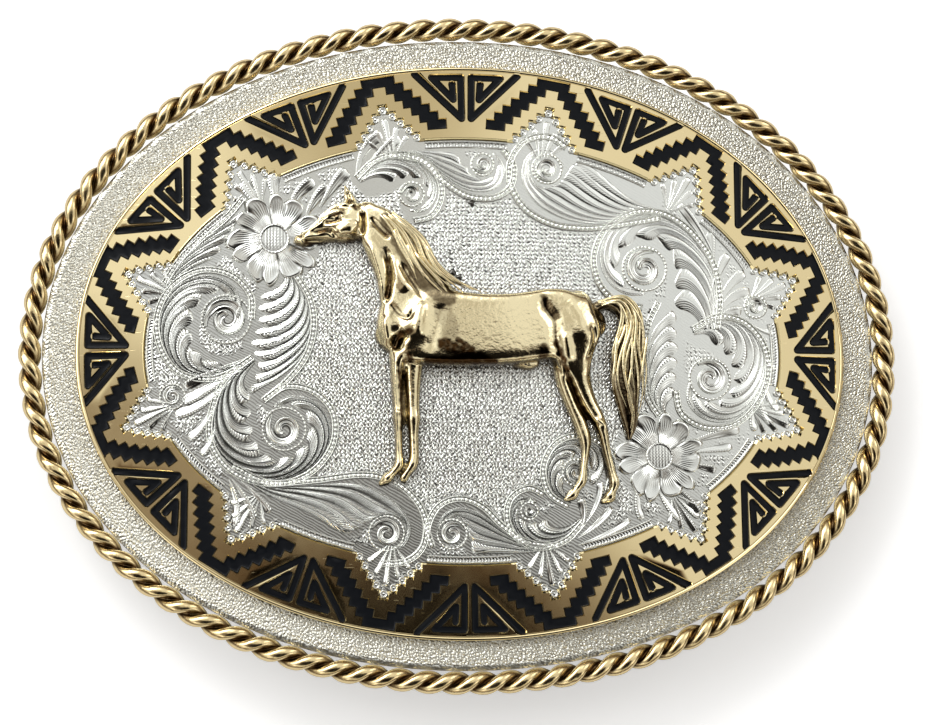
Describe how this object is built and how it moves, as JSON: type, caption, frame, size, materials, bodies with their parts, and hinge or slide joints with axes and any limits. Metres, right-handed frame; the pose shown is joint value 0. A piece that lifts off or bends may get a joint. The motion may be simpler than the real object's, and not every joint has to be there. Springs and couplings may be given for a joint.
{
  "type": "western belt buckle",
  "caption": "Curved oval western belt buckle with twisted rope edge, star-cut gold band with black enamel, engraved silver field and standing horse; loop and hook on the back.",
  "frame": {"origin": "centre of the bounding box on its bottom plane, where the belt loop and the hook's tip touch the surface that the buckle lies on", "axes": "+X along the buckle's long axis to the right as worn and seen from the front, +Y up the face as seen from the front, +Z out of the face"},
  "size_m": [0.102, 0.078, 0.0139],
  "materials": {
    "stippled_silver": "silver plate with a fine stippled grain on the front border and a plain satin back",
    "rope_gold": "polished gold plate, darker in the twists",
    "band_gold": "flat polished gold plate with fine handling marks",
    "black_enamel": "glossy black enamel in recesses",
    "engraved_silver": "bright-cut engraved silver plate: leaves, scrolls and flowers over a finely lined ground",
    "cast_gold": "polished cast relief, gold plated",
    "plain_silver": "plain satin nickel silver"
  },
  "bodies": {
    "root": {"base_plate": "stippled_silver", "rope_edge": "rope_gold", "gold_band": "band_gold", "zigzag_enamel": "black_enamel", "spiral_enamel": "black_enamel", "engraved_field": "engraved_silver", "horse": "cast_gold", "belt_loop": "plain_silver", "belt_hook": "plain_silver"}
  },
  "joints": []
}
